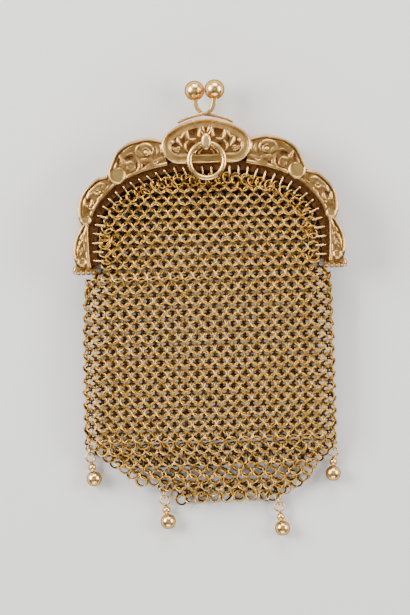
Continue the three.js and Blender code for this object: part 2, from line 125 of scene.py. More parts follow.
# drop, left and right sides, back and front surfaces, and how square the section is
BAG_ROWS = np.array([
    (-0.5, 0.9, 0.9, 0.146, 0.854, 8),
    (0.034, 0.9, 0.9, 0.09, 0.86, 6),
    (0.05, 0.955, 0.92, 0.07, 0.855, 5),
    (0.15, 0.98, 0.932, 0, 0.835, 3.6),
    (0.32, 0.99, 0.934, 0, 0.81, 3.4),
    (0.48, 0.995, 0.934, 0, 0.795, 3.4),
    (0.62, 1, 0.932, 0, 0.74, 3.4),
    (0.725, 1, 0.93, 0, 0.63, 3.4),
    (0.75, 0.965, 0.93, 0, 0.61, 3.4),
    (0.81, 0.83, 0.84, 0, 0.53, 3.2),
    (0.9, 0.62, 0.72, 0, 0.42, 3),
    (0.918, 0.47, 0.675, 0, 0.4, 3),
    (0.93, 0.375, 0.645, 0, 0.385, 3),
    (0.968, 0.32, 0.49, 0.01, 0.35, 3),
    (1, 0.26, 0.29, 0.03, 0.3, 3),
])


# Building meshes

def new_object(name, vertices, faces, material, sharp, body="purse"):
    """vertices in millimetres from the model's origin; faces as an array of quads or a list."""
    mesh = bpy.data.meshes.new(name)
    vertices = np.asarray(vertices, float) * MM
    if isinstance(faces, np.ndarray):
        count, sides = faces.shape
        mesh.vertices.add(len(vertices))
        mesh.vertices.foreach_set("co", vertices.astype(np.float32).ravel())
        mesh.loops.add(count * sides)
        mesh.loops.foreach_set("vertex_index", faces.astype(np.int32).ravel())
        mesh.polygons.add(count)
        mesh.polygons.foreach_set("loop_start", np.arange(0, count * sides, sides, dtype=np.int32))
        mesh.update(calc_edges=True)
    else:
        mesh.from_pydata(vertices.tolist(), [], faces)
    mesh.validate()
    mesh.shade_smooth()
    if sharp:
        mesh.set_sharp_from_angle(angle=math.radians(sharp))
    mesh.materials.append(material)
    obj = bpy.data.objects.new(name, mesh)
    bpy.context.scene.collection.objects.link(obj)
    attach(obj, body)
    return obj


def set_tone(obj, hollow, satin, shade_and_patches):
    """Writes how hollow (mm below the surroundings) and satin each vertex is, and its painted shade and
    darker patches.
    """
    colour = obj.data.color_attributes.new("tone", "FLOAT_COLOR", "POINT")
    rows = np.c_[0.5 + hollow, satin, shade_and_patches, np.ones(len(hollow))]
    colour.data.foreach_set("color", rows.astype(np.float32).ravel())


class Parts:
    """Collects vertices, faces and tones of several shapes for one mesh."""

    def __init__(self):
        self.vertices = []
        self.faces = []
        self.tones = []
        self.count = 0

    def add(self, vertices, faces, tone=(0, 0, 0)):
        self.vertices.append(np.asarray(vertices, float))
        self.faces.extend([[int(i) + self.count for i in face] for face in faces])
        self.tones.append(np.broadcast_to(tone, (len(vertices), 3)))
        self.count += len(vertices)


def unit(vectors):
    return vectors / np.linalg.norm(vectors, axis=1)[:, None]


def turns(count):
    """Evenly spaced angles of one whole turn."""
    return np.linspace(0, 2 * math.pi, count, endpoint=False)


def run_along(line):
    """Length along a line at each of its points."""
    return np.r_[0, np.cumsum(np.linalg.norm(np.diff(line, axis=0), axis=1))]


def at_length(line, run, at):
    return np.c_[np.interp(at, run, line[:, 0]), np.interp(at, run, line[:, 1])]


def wrapped_faces(around, sides):
    """Quads of a tube that closes on itself both ways."""
    i, j = np.meshgrid(np.arange(around), np.arange(sides), indexing="ij")
    i2, j2 = (i + 1) % around, (j + 1) % sides
    return np.stack([i * sides + j, i2 * sides + j, i2 * sides + j2, i * sides + j2], -1).reshape(-1, 4)


def spline(points, count):
    """Uniform Catmull-Rom curve through the points, ends included."""
    points = np.asarray(points, float)
    at = np.linspace(0, len(points) - 1, count)
    low = np.minimum(at.astype(int), len(points) - 2)
    t = (at - low)[:, None]
    p0 = points[np.maximum(low - 1, 0)]
    p1, p2 = points[low], points[low + 1]
    p3 = points[np.minimum(low + 2, len(points) - 1)]
    v0, v1 = (p2 - p0) / 2, (p3 - p1) / 2
    return (2 * p1 - 2 * p2 + v0 + v1) * t**3 + (-3 * p1 + 3 * p2 - 2 * v0 - v1) * t**2 + v0 * t + p1


def span_curve(rows, side, count):
    return spline(np.array(rows) * (side * SPAN, RISE), count)


def cartouche(inset, steps=24):
    top = RISE - inset
    bottom = RISE - CARTOUCHE_HEIGHT + inset
    corner = CARTOUCHE_CORNER - inset
    corner_x = CARTOUCHE_HALF_WIDTH - CARTOUCHE_CORNER
    corner_y = RISE - CARTOUCHE_HEIGHT + CARTOUCHE_CORNER
    reach = top - corner
    centre = (reach**2 - corner_x**2 - corner_y**2) / (2 * (reach - corner_y))
    meet = math.atan2(corner_y - centre, corner_x)
    first = np.linspace(-math.pi / 2, meet, steps)
    over = np.linspace(meet, math.pi - meet, 2 * steps)[1:-1]
    last = np.linspace(math.pi - meet, 1.5 * math.pi, steps)
    return np.vstack([
        np.c_[corner_x + corner * np.cos(first), corner_y + corner * np.sin(first)],
        np.c_[(top - centre) * np.cos(over), centre + (top - centre) * np.sin(over)],
        np.c_[-corner_x + corner * np.cos(last), corner_y + corner * np.sin(last)],
        [(0, bottom)],
    ])


def line_distance(points, line, closed=False):
    """Distance from each point to a polyline, and the share of its length at the nearest place."""
    line = np.asarray(line, float)
    if closed:
        line = np.vstack([line, line[:1]])
    lengths = np.linalg.norm(np.diff(line, axis=0), axis=1)
    before = np.r_[0, np.cumsum(lengths)]
    best = np.full(len(points), np.inf)
    share = np.zeros(len(points))
    for start, end, length, run in zip(line[:-1], line[1:], lengths, before):
        if length < 1e-9:
            continue
        along = (end - start) / length
        offset = points - start
        t = np.clip(offset @ along, 0, length)
        distance = np.hypot(offset[:, 0] - t * along[0], offset[:, 1] - t * along[1])
        nearer = distance < best
        best[nearer] = distance[nearer]
        share[nearer] = ((run + t) / before[-1])[nearer]
    return best, share


def inside(points, polygon):
    x, y = points[:, 0], points[:, 1]
    result = np.zeros(len(points), bool)
    for (x0, y0), (x1, y1) in zip(polygon, np.roll(polygon, -1, axis=0)):
        if y0 == y1:
            continue
        crosses = (y0 > y) != (y1 > y)
        at = x0 + (y - y0) * (x1 - x0) / (y1 - y0)
        result ^= crosses & (x < at)
    return result


def signed(points, polygon):
    distance, _ = line_distance(points, polygon, closed=True)
    return np.where(inside(points, polygon), -distance, distance)


def smooth(value, low, high):
    t = np.clip((value - low) / (high - low), 0, 1)
    return t * t * (3 - 2 * t)


# Relief of the frame: strokes, mounds and hollows over a plan, in millimetres

class Relief:
    def __init__(self, points):
        self.points = points
        self.height = np.zeros(len(points))
        self.depth = np.zeros(len(points))
        self.shade_and_patches = np.zeros(len(points))

    def stroke(self, line, width, height, taper="both", floor=0.15):
        """A rounded ridge along a line; taper says which ends grow thin."""
        distance, share = line_distance(self.points, line)
        shape = {
            "none": np.ones_like(share),
            "end": np.minimum(1, 4 * (1 - share))**0.6,
            "both": np.sin(np.pi * np.clip(share, 0, 1))**0.6,
        }[taper]
        half = width / 2 * np.maximum(shape, floor)
        q = np.clip(distance / half, 0, 1)
        self.height = np.maximum(self.height, height * np.maximum(shape, 0.4)**0.5 * np.sqrt(1 - q**2))

    def oval(self, x, y, half_length, half_width, angle):
        dx, dy = self.points[:, 0] - x, self.points[:, 1] - y
        c, s = math.cos(math.radians(angle)), math.sin(math.radians(angle))
        return np.hypot((dx * c + dy * s) / half_length, (-dx * s + dy * c) / half_width)

    def mound(self, x, y, half_length, half_width, angle, height):
        q = self.oval(x, y, half_length, half_width, angle)
        self.height = np.maximum(self.height, height * np.sqrt(np.clip(1 - q**2, 0, 1)))

    def pit(self, x, y, half_length, half_width, angle, depth):
        q = self.oval(x, y, half_length, half_width, angle)
        self.depth = np.maximum(self.depth, depth * smooth(q, 1.0, 0.55))
        # Painted shade: the pit and a little beyond it get the dark colour.
        self.shade_and_patches = np.maximum(self.shade_and_patches, smooth(q, 1.25, 0.7))

    def patch(self, x, y, half_length, half_width, angle, strength):
        # A darker patch of colour, with no change of height.
        q = self.oval(x, y, half_length, half_width, angle)
        self.shade_and_patches = np.maximum(self.shade_and_patches, strength * smooth(q, 1.35, 0.5))

    def surface(self, ground, share_of_height=0.42):
        share = np.clip(self.depth / 0.3, 0, 1)
        return (ground + share_of_height * self.height) * (1 - share) + (ground - 0.7 * self.depth) * share


# The ornament is drawn on a grid of this step, from the middle line and the hinge line.
GRID = 0.22
SHOULDER = {
    "strokes": [
        # width, height, taper unless both, places
        (0.75, 0.5, [(70.4, 115.8), (67.7, 120.7), (61.7, 122.9), (55.7, 120.8),
         (53.4, 116.7), (55, 111.8)]),
        (0.5, 0.42, [(64.3, 117.6), (60.3, 119.2), (56.9, 116.3), (58, 112.4), (62, 111.5)]),
        (0.75, 0.5, [(86.5, 113.3), (84.1, 108.2), (80.3, 104.1), (75.7, 105.6), (72.3, 103.3)]),
        (0.7, 0.46, [(79.8, 103.6), (76.9, 98.5), (72.9, 99.3), (72.3, 103.3)]),
        (0.8, 0.46, [(70.5, 111.3), (66.9, 106.7), (66.3, 100.6), (71, 95.8)]),
        (1.1, 0.42, [(60.9, 100.5), (54.8, 102.8), (47.7, 106.6), (40.6, 109.8)]),
        (0.5, 0.36, [(50.7, 121.7), (48.3, 117.1), (49, 111.1)]),
        (0.5, 0.36, [(46.2, 123), (44.3, 118), (45, 112)]),
        (0.3, 0.3, [(94.7, 96.5), (92.6, 104.5), (87.5, 112.3)]),
        (0.3, 0.3, [(92.2, 97.4), (90.5, 102.9), (88.4, 106.3)]),
        (0.4, 0.3, [(83.4, 115.2), (77.3, 120), (70.2, 122.8)]),
        (0.4, 0.34, [(80.5, 112.1), (75.4, 114.4), (70, 112.3)]),
    ],
    "mounds": [
        # x, y, half length, half width, angle, height
        (60.2, 115.2, 1.6, 1.6, 0, 0.65), (67, 113.7, 4, 2.6, 45, 0.36),
        (61.7, 106.5, 5.5, 2.8, 0, 0.45), (75.3, 101.9, 2.6, 2.2, 0, 0.36),
        (56.2, 106.8, 2.6, 2.6, 0, 0.32), (77.3, 117.5, 5, 1.8, -35, 0.2), (83.3, 102.2, 2.4, 3.5, 0, 0.2),
    ],
    "pits": [
        # x, y, half length, half width, angle, depth
        (62.5, 101.7, 2.2, 1.5, 0, 0.35), (77.1, 110.2, 3.8, 1.3, -10, 0.4),
        (69.2, 102.7, 3.4, 1, -90, 0.35), (87.4, 105.8, 4.6, 1.2, -78, 0.35),
        (54.8, 114.8, 2.6, 0.9, -80, 0.3), (50.7, 105.1, 2.8, 1.1, -25, 0.32),
        (73.5, 95.6, 2.4, 0.8, -15, 0.25),
    ],
    "patches": [
        # x, y, half length, half width, angle, strength
        (64.1, 124, 6.5, 1.3, -5, 0.85), (77.1, 110.2, 5.5, 2.6, -8, 0.85),
        (69.2, 102.2, 4.6, 1.7, -85, 0.85), (87.4, 106.3, 6.2, 2.1, -78, 0.85),
        (52.5, 112.2, 6, 2.6, -75, 0.5), (62.5, 101.7, 2.8, 2, 0, 0.5), (59.5, 110.9, 4, 1, -5, 0.75),
        (74.3, 117.4, 5.5, 1.4, -35, 0.35), (49.8, 104.1, 3.8, 1.6, -25, 0.6),
        (82, 97.1, 3, 1.4, -30, 0.5), (46.8, 120, 4.5, 2, -80, 0.3), (73, 95.3, 3.4, 1.2, -15, 0.45),
    ],
}
SIDE = {
    "strokes": [
        (0.85, 0.48, [(96.5, 84.5), (103, 77), (108, 69.5), (113.5, 59.5)]),
        (0.6, 0.38, [(94.5, 80.5), (100, 74.5), (104.5, 67.5), (109, 59)]),
        (0.7, 0.45, [(101, 84.5), (108, 84.5), (114.5, 80.5), (118.5, 75.5)]),
        (0.75, 0.46, [(113.5, 75.5), (117.5, 74.5), (119.5, 70)]),
        (0.6, 0.42, [(121.5, 72), (122.5, 66), (120.5, 61.5)]),
        (0.6, 0.42, [(114.5, 70), (115.3, 65), (118.5, 62)]),
        (0.5, 0.36, [(112, 66), (113.5, 61.5), (117, 58)]),
    ],
    "mounds": [
        (109.6, 77.6, 5.2, 4.4, -12, 0.46), (121, 63.3, 1.4, 1.4, 0, 0.55), (116.8, 60.5, 1.3, 1.3, 0, 0.5),
        (103, 81.5, 4, 2.4, -45, 0.3), (118.3, 78, 3, 1.8, -50, 0.3),
    ],
    "pits": [
        (109.8, 77.5, 3.2, 2.0, -12, 0.42), (117.7, 69.2, 2.6, 1.7, -60, 0.42),
        (106.5, 74, 2.2, 0.9, -52, 0.34), (110.5, 67, 2.6, 0.8, -58, 0.34), (100.5, 81.8, 1.8, 0.8, -45, 0.3),
    ],
    "patches": [
        (119.4, 68.8, 3, 2.4, -20, 0.85), (124, 65.4, 7, 1.4, 78, 0.55),
        (121.8, 57.4, 4, 1.8, -10, 0.55), (118.2, 59.7, 2.5, 1.2, 0, 0.6),
        (109.3, 87, 5.5, 1.2, -38, 0.6), (109.3, 71, 5, 0.7, -50, 0.7),
        (104.7, 74.3, 5, 0.6, -50, 0.6), (99.4, 83.7, 4, 0.8, -45, 0.6),
        (117.2, 76.2, 1.2, 3.4, -20, 0.5),
    ],
}
FOOT = {
    "strokes": [
        (0.6, 0.45, [(122.5, 41), (124, 34), (127.5, 27.5), (130.5, 21), (131, 14)]),
        (0.55, 0.42, [(130.5, 34), (127, 31), (124, 27), (123.5, 20), (126, 15.5)]),
        (0.5, 0.42, [(127.5, 24), (126, 19), (129, 14.5)]),
        (0.5, 0.4, [(126.5, 39), (129, 35), (131, 29)]),
    ],
    "mounds": [(126.5, 34, 2, 1.3, -60, 0.35), (128.5, 19, 1.3, 1.3, 0, 0.45)],
    "pits": [
        (127.3, 29.5, 1.8, 0.8, -60, 0.32), (126.2, 23.5, 1.6, 0.8, 80, 0.32),
        (124.8, 38, 1.6, 0.6, -70, 0.3), (129.6, 24.5, 1.5, 0.6, 60, 0.3),
    ],
    "patches": [
        (128.1, 24.5, 4, 0.8, 70, 0.7), (124.8, 22.4, 4, 0.8, -80, 0.7), (130.6, 16.1, 2, 1.3, 0, 0.6),
        (125.1, 13.9, 3, 0.9, 70, 0.5), (127.4, 35.5, 4, 0.9, -60, 0.4), (129.8, 30.6, 5, 0.7, -70, 0.5),
    ],
}
CARTOUCHE = {
    "strokes": [
        (0.5, 0.42, "none", [(6.9, 129.8), (5.9, 136.3), (9.1, 140.6), (14.6, 141), (18.7, 138.2),
         (19.2, 132.7), (17.5, 127.6)]),
        (0.35, 0.4, [(18.5, 127.3), (14, 126.2), (9.5, 127.3)]),
        (0.5, 0.46, [(17.1, 125.6), (20.2, 121.2), (19.4, 115.7), (16, 113.1)]),
        (0.6, 0.46, [(30.7, 136), (25.7, 137.9), (22.3, 134.3), (24, 128.8), (28.4, 129.5)]),
        (0.55, 0.44, [(28.4, 129.5), (27.1, 123.9), (23.8, 118.8)]),
        (0.4, 0.42, [(35.7, 120.7), (32.4, 116.6), (26.4, 114.6)]),
        (0.35, 0.4, [(33.3, 119.6), (29.8, 117.2), (25.3, 116.8)]),
        (0.35, 0.4, [(30.7, 121), (28.3, 118.9), (25.3, 118.6)]),
        (0.5, 0.4, [(37.4, 129.7), (33.3, 134.6), (27.6, 139.4)]),
        (0.35, 0.46, [(1.2, 132.6), (3.1, 137.2), (4, 142.2)]),
        (0.35, 0.46, [(2.4, 131.1), (5, 134.2), (6.7, 138.3)]),
        (0.35, 0.46, [(2.8, 117.1), (6.4, 114.3), (9.6, 109.4)]),
        (0.35, 0.46, [(4.3, 118.7), (8.9, 116.3), (12.5, 111.4)]),
        (0.35, 0.46, [(6.7, 120.3), (11.3, 118.4), (14.9, 114.2)]),
    ],
    "mounds": [
        (33.1, 124.6, 1.5, 1.5, 0, 0.65), (26.3, 133.4, 2.6, 2.6, 0, 0.36),
        (34.4, 130.1, 2.5, 1.6, -60, 0.3), (14.2, 120, 3, 3, 0, 0.2),
    ],
    "pits": [
        (13, 135.5, 5.4, 5, -60, 0.6), (13.2, 120.5, 3.6, 3.4, 0, 0.42),
        (30.2, 121.5, 3.2, 1.8, 60, 0.35), (22.1, 125.8, 1.2, 3, 0, 0.25),
        (35.5, 125.7, 2.6, 0.9, -80, 0.25),
    ],
    "patches": [
        (13, 135.5, 5.6, 5.2, -60, 1), (13.7, 120.5, 4.4, 4, 0, 0.85),
        (30.2, 120, 5.5, 3, 40, 0.85), (34.9, 129.7, 4.5, 1.4, -65, 0.6),
        (21.6, 125.2, 4.5, 1.4, -85, 0.55), (4.7, 136.2, 4.5, 1.8, 70, 0.7),
        (0.3, 135.6, 2.5, 2.5, 0, 0.85), (7.4, 114.8, 5, 4, 0, 0.6), (21.2, 138.7, 3.5, 1.3, -30, 0.4),
        (0.6, 108.6, 5, 2.5, 0, 0.7),
    ],
}


def ornament(relief, design):
    for width, height, *taper, rows in design["strokes"]:
        relief.stroke(spline(np.array(rows) * GRID, 28), width, height, *taper)
    for key, add in (("mounds", relief.mound), ("pits", relief.pit), ("patches", relief.patch)):
        for x, y, half_length, half_width, angle, amount in design[key]:
            add(x * GRID, y * GRID, half_length * GRID, half_width * GRID, angle, amount)


def lobe_outline(lobe, side=1):
    outer, inner = (span_curve(lobe[key], side, CURVE_STEPS) for key in ("outer", "inner"))
    return np.vstack([outer, inner[::-1]])


def rolled_rim(lobe):
    """Middle line of the rolled edge: down the outer side, then round the volute into a curl."""
    outer = offset_line(span_curve(lobe["outer"], 1, CURVE_STEPS), -RIM_HALF)
    outer = outer[:int(lobe["rim_share"] * len(outer))]
    x, y, radius = lobe["volute"]
    start, end = lobe["curl"]
    turn = np.radians(np.linspace(start, end, 44))
    reach = np.linspace(radius - RIM_HALF, radius - 1.6 * RIM_HALF, 44)
    reach[-8:] *= np.linspace(1, 0.8, 8)
    curl = np.c_[x * SPAN + reach * np.cos(turn), y * RISE + reach * np.sin(turn)]
    return np.vstack([outer, curl])


def dome(across, middle, half):
    """Round section of a ridge: 1 on its middle line, 0 at its sides and beyond."""
    return np.sqrt(np.clip(1 - ((across - middle) / half)**2, 0, 1))


def plate_face(points, depth, front):
    """Height, satin, and painted shade and darker patches of the central plate; depth is the distance in from
    its outline.
    """
    inner = -signed(points, cartouche(CARTOUCHE_BAND))
    if front:
        relief = Relief(points)
        ornament(relief, CARTOUCHE)
        relief.mound(0, ROSETTE_Y * GRID, 0.75, 0.75, 0, 0.5)
        relief.pit(0, ROSETTE_Y * GRID, 0.3, 0.3, 0, 0.3)
        field = relief.surface(GROUND - 0.25, 0.75)
        # Painted shade: the field is at least half dark, fading out on the raised ornament.
        shade_and_patches = np.maximum(relief.shade_and_patches, 0.5) * np.clip(1.15 - relief.height / 0.42, 0, 1)
        shade_and_patches = shade_and_patches * smooth(inner, 0, 0.3)
        lower = smooth(points[:, 1], 0.87 * RISE, 0.8 * RISE)
    else:
        field = GROUND + BACK_BULGE * np.sin(np.pi / 2 * np.clip(inner / 3, 0, 1))
        shade_and_patches = np.zeros(len(points))
        lower = 1
    band = GROUND - 0.12 * np.sin(np.pi * np.clip((depth - 0.5) / 1.25, 0, 1))
    line = GROUND + 0.2 * dome(inner, 0.14, 0.17)
    surface = np.where(inner > 0.1, field, band)
    surface = np.maximum(surface, GROUND - 0.3 + (line - GROUND + 0.3) * (line > GROUND) * lower)
    rim = GROUND + (CREST - GROUND) * dome(depth, RIM_HALF, RIM_HALF)
    height = np.where(depth < 2 * RIM_HALF, np.maximum(rim, surface), surface)
    return height, smooth(depth, 0.55, 0.8) * (inner < 0.05) * lower, shade_and_patches


def lobe_face(points, lobe, design):
    """Height, satin, and painted shade and darker patches of one lobe of the frame, with its volute and
    rolled rim.
    """
    x, y, radius = lobe["volute"]
    near = np.hypot(points[:, 0] - x * SPAN, points[:, 1] - y * RISE)
    out, _ = line_distance(points, span_curve(lobe["outer"], 1, CURVE_STEPS))
    across, _ = line_distance(points, span_curve(lobe["inner"], 1, CURVE_STEPS))
    relief = Relief(points)
    ornament(relief, design)
    relief.height *= smooth(out, 0.5, 0.8)
    # Painted shade: low ground between the ornament darkens, fading out on raised strokes.
    low_ground = np.maximum(relief.shade_and_patches, 0.36) * np.clip(1.25 - relief.height / 0.4, 0.1, 1)
    surface = relief.surface(GROUND + 0.1 * np.sin(np.pi * np.clip(out / (out + across + 1e-6), 0, 1)))
    bowl = GROUND - 0.3 + 0.35 * (near / radius)**2
    within = smooth(near, radius - 0.45, radius - 0.65)
    surface = surface * (1 - within) + bowl * within
    edging = dome(across, 0.34, 0.34) * smooth(near, radius - 0.1, radius + 0.3)
    surface = np.maximum(surface, GROUND + 0.25 * edging)
    # A groove inside the outer rim, cut 0.2 mm deep and darkened as painted shade.
    groove = np.exp(-((out - 2.7 * RIM_HALF) / 0.2)**2) * (1 - within)
    shade_and_patches = low_ground * (1 - within) * (1 - 0.8 * edging)
    shade_and_patches = np.maximum(shade_and_patches, 0.7 * groove)
    rim = Relief(points)
    rim.stroke(rolled_rim(lobe), 2 * RIM_HALF, CREST - GROUND, "end")
    flat = rim.height <= 0.05
    return np.maximum(surface - 0.2 * groove, GROUND + rim.height), within * flat, shade_and_patches * flat


def frame_heights(plan, front):
    """Height of the stamped face above the plane between the halves, where it is satin, and its painted shade
    and darker patches.
    """
    points = np.c_[np.abs(plan[:, 0]), plan[:, 1]]
    face = np.tile((GROUND, 0.0, 0.0), (len(points), 1))
    plate = signed(points, cartouche(0))
    taken = plate <= 0.02
    face[taken] = np.column_stack(plate_face(points[taken], -plate[taken], front))
    for lobe, design in zip(LOBES, (SHOULDER, SIDE, FOOT)):
        x, y, radius = lobe["volute"]
        away = np.hypot(points[:, 0] - x * SPAN, points[:, 1] - y * RISE)
        body = ((signed(points, lobe_outline(lobe)) <= 0.02) | (away <= radius)) & ~taken
        face[body] = np.column_stack(lobe_face(points[body], lobe, design))
        taken |= body
    return face.T


def frame_plan():
    polygons = [cartouche(0)]
    turn = turns(48)
    for side in (-1, 1):
        for lobe in LOBES:
            polygons.append(lobe_outline(lobe, side))
            x, y, radius = lobe["volute"]
            polygons.append(np.c_[side * x * SPAN + radius * np.cos(turn), y * RISE + radius * np.sin(turn)])
    return polygons


def clipped_grid(polygons, step, holes=(), hole_radius=0.0):
    """A grid cut along the joined outline: plan points, faces and the grid place of each point."""
    low = np.min([p.min(0) for p in polygons], axis=0) - 2.5 * step
    high = np.max([p.max(0) for p in polygons], axis=0) + 2.5 * step
    xs, ys = (np.arange(a, b, step) for a, b in zip(low, high))
    gx, gy = np.meshgrid(xs, ys, indexing="ij")
    points = np.c_[gx.ravel(), gy.ravel()]
    distance = np.full(len(points), 9.0)
    for polygon in polygons:
        near = np.all((points > polygon.min(0) - 1) & (points < polygon.max(0) + 1), axis=1)
        distance[near] = np.minimum(distance[near], signed(points[near], polygon))
    for hole in holes:
        distance = np.maximum(distance, hole_radius - np.hypot(*(points - hole).T))
    nx, ny = len(xs), len(ys)
    value = distance.reshape(nx, ny)
    value[np.abs(value) < 1e-4] = 1e-4
    keep = value < 0
    ids = np.full((nx, ny), -1)
    ids[keep] = np.arange(keep.sum())
    vertices = list(points.reshape(nx, ny, 2)[keep])
    places = list(np.argwhere(keep))
    cuts = {}

    def cut(a, b):
        key = (a, b) if a < b else (b, a)
        if key not in cuts:
            va, vb = value[key[0]], value[key[1]]
            pa = np.array((xs[key[0][0]], ys[key[0][1]]))
            pb = np.array((xs[key[1][0]], ys[key[1][1]]))
            cuts[key] = len(vertices)
            vertices.append(pa + (pb - pa) * va / (va - vb))
            places.append(key[0] if keep[key[0]] else key[1])
        return cuts[key]

    corners = keep[:-1, :-1].astype(int) + keep[1:, :-1] + keep[1:, 1:] + keep[:-1, 1:]
    i, j = np.nonzero(corners == 4)
    faces = np.c_[ids[i, j], ids[i + 1, j], ids[i + 1, j + 1], ids[i, j + 1]].tolist()
    for i, j in zip(*np.nonzero((corners > 0) & (corners < 4))):
        ring = [(i, j), (i + 1, j), (i + 1, j + 1), (i, j + 1)]
        face = []
        for a, b in zip(ring, ring[1:] + ring[:1]):
            if keep[a]:
                face.append(ids[a])
            if keep[a] != keep[b]:
                face.append(cut(a, b))
        if len(face) >= 3:
            faces.append([int(k) for k in face])
    return np.array(vertices), faces, np.array(places), (nx, ny)


def slab(plan, faces, height, low):
    """Closes a height field with walls and a flat underside."""
    edges = {}
    for face in faces:
        for a, b in zip(face, face[1:] + face[:1]):
            if (b, a) in edges:
                del edges[(b, a)]
            else:
                edges[(a, b)] = True
    count = len(plan)
    vertices = np.vstack([np.c_[plan, height], np.c_[plan, np.full(count, low)]])
    walls = [[b, a, count + a, count + b] for a, b in edges]
    under = [[count + i for i in reversed(face)] for face in faces]
    return vertices, faces + walls + under


def blurred(values, places, shape, reach):
    """Mean of each point's surroundings on the grid, leaving out places off the plan."""
    width = 2 * reach + 1

    def spread(grid):
        for _ in range(3):
            for axis in (0, 1):
                margin = [(0, 0), (0, 0)]
                margin[axis] = (reach + 1, reach)
                total = np.cumsum(np.pad(grid, margin), axis)
                upper = np.take(total, range(width, total.shape[axis]), axis)
                lower = np.take(total, range(0, total.shape[axis] - width), axis)
                grid = (upper - lower) / width
        return grid

    grid, mask = np.zeros(shape), np.zeros(shape)
    grid[places[:, 0], places[:, 1]] = values
    mask[places[:, 0], places[:, 1]] = 1
    return (spread(grid) / np.maximum(spread(mask), 1e-6))[places[:, 0], places[:, 1]]


def offset_line(line, distance):
    along = unit(np.gradient(line, axis=0))
    return line + distance * np.c_[-along[:, 1], along[:, 0]]


def arch_line(offset, count=61):
    right = span_curve(ARCH, 1, count)
    return offset_line(np.vstack([right[:0:-1] * (-1, 1), right]), offset)


def lathe(profile, sides, axis="z"):
    """Closed turned shape; the profile runs from the axis to the axis."""
    inner = profile[1:-1]
    turn = turns(sides)
    rows = [np.c_[r * np.cos(turn), r * np.sin(turn), np.full(sides, z)] for r, z in inner]
    vertices = np.vstack([*rows, [(0, 0, profile[0][1])], [(0, 0, profile[-1][1])]])
    faces = []
    for k in range(len(inner) - 1):
        for i in range(sides):
            j = (i + 1) % sides
            faces.append([k * sides + i, k * sides + j, (k + 1) * sides + j, (k + 1) * sides + i])
    first, last = len(inner) * sides, len(inner) * sides + 1
    end = (len(inner) - 1) * sides
    for i in range(sides):
        j = (i + 1) % sides
        faces.append([first, j, i])
        faces.append([last, end + i, end + j])
    if profile[0][1] > profile[-1][1]:
        faces = [face[::-1] for face in faces]
    if axis == "x":
        vertices = vertices[:, [2, 0, 1]]
    if axis == "y":
        vertices = vertices[:, [1, 2, 0]]
    return vertices, faces


def torus_template(radius, wire, around, sides):
    u = turns(around)
    v = turns(sides)
    uu, vv = np.meshgrid(u, v, indexing="ij")
    x = (radius + wire * np.cos(vv)) * np.cos(uu)
    y = (radius + wire * np.cos(vv)) * np.sin(uu)
    z = wire * np.sin(vv)
    vertices = np.c_[x.ravel(), y.ravel(), z.ravel()]
    return vertices, wrapped_faces(around, sides)


# Bag surface

def bag_row(y):
    """Sides, back, front and squareness of the bag at a height in the purse's own frame."""
    drop = -y / BAG_DROP
    left, right, back, front, square = (np.interp(drop, BAG_ROWS[:, 0], BAG_ROWS[:, k]) for k in range(1, 6))
    return -left * BAG_HALF_WIDTH, right * BAG_HALF_WIDTH, back * 2 * MID_Z, front * 2 * MID_Z, square


def bag_section(y, count=240):
    """Middle line of the bag's wall round one row, from the middle of the front to the right."""
    left, right, back, front, square = bag_row(y)
    inset = BAG_WALL / 2
    angle = math.pi / 2 - np.linspace(0, 2 * math.pi, count + 1)
    c, s = np.cos(angle), np.sin(angle)
    x = (left + right) / 2 + ((right - left) / 2 - inset) * np.sign(c) * np.abs(c)**(2 / square)
    z = (back + front) / 2 + ((front - back) / 2 - inset) * np.sign(s) * np.abs(s)**(2 / square)
    return np.c_[x, z]


def wall_height(y, is_front):
    """Height of the middle of the bag's front or back wall."""
    _, _, back, front, _ = bag_row(y)
    return front - BAG_WALL / 2 if is_front else back + BAG_WALL / 2


def copies(template, faces, centres, rights, ups, axes):
    """One copy of a shape for each centre, along its own three directions."""
    vertices = (centres[:, None, :] + template[None, :, :1] * rights[:, None, :]
                + template[None, :, 1:2] * ups[:, None, :] + template[None, :, 2:] * axes[:, None, :])
    shift = (np.arange(len(centres)) * len(template))[:, None, None]
    return vertices.reshape(-1, 3), (faces[None] + shift).reshape(-1, 4)


def turned(first, second, angles):
    c, s = np.cos(angles)[:, None], np.sin(angles)[:, None]
    return first * c + second * s, second * c - first * s


def place_rings(centres, normals, tilts, spins, wire, around, sides):
    """Rings whose axes start on the surface's normal, and how far each vertex faces inwards."""
    template, faces = torus_template(RING_RADIUS, wire, around, sides)
    outward = unit(normals)
    up = np.array((0.0, 1.0, 0.0))
    ups = unit(up - outward * (outward @ up)[:, None])
    rights = np.cross(ups, outward)
    ups, axes = turned(ups, outward, tilts)
    rights, axes = turned(rights, axes, spins)
    ring = template * (1, 1, 0)
    skin = (template - ring * (RING_RADIUS / np.linalg.norm(ring, axis=1))[:, None]) / wire
    inward = -np.einsum("vk,rkc,rc->rv", skin, np.stack([rights, ups, axes], axis=1), outward)
    return *copies(template, faces, centres, rights, ups, axes), inward.ravel()


def to_model(vertices):
    """From the purse's own frame (hinge line, floor) to the model's frame."""
    return vertices + np.array((0, HINGE_Y, 0))


def half_to_model(vertices, front):
    """From a half's own frame to the model's; the back half is turned over about Y."""
    turn = np.array((1, 1, 1) if front else (-1, 1, -1))
    return vertices * turn + np.array((0, HINGE_Y, MID_Z))


# Materials

SATIN_TINT = (0.22, 0.17, 0.055)
# Painted highlight: pale tint for points that stand above their surroundings.
RIDGE_HIGHLIGHT_TINT = (0.94, 0.66, 0.32)
# Painted shade: dark brown mixed in where metal is seen at grazing angles.
GRAZING_SHADE_TINT = (0.12, 0.05, 0.008)
SPECULAR_TINT = (0.4, 0.22, 0.07, 1)


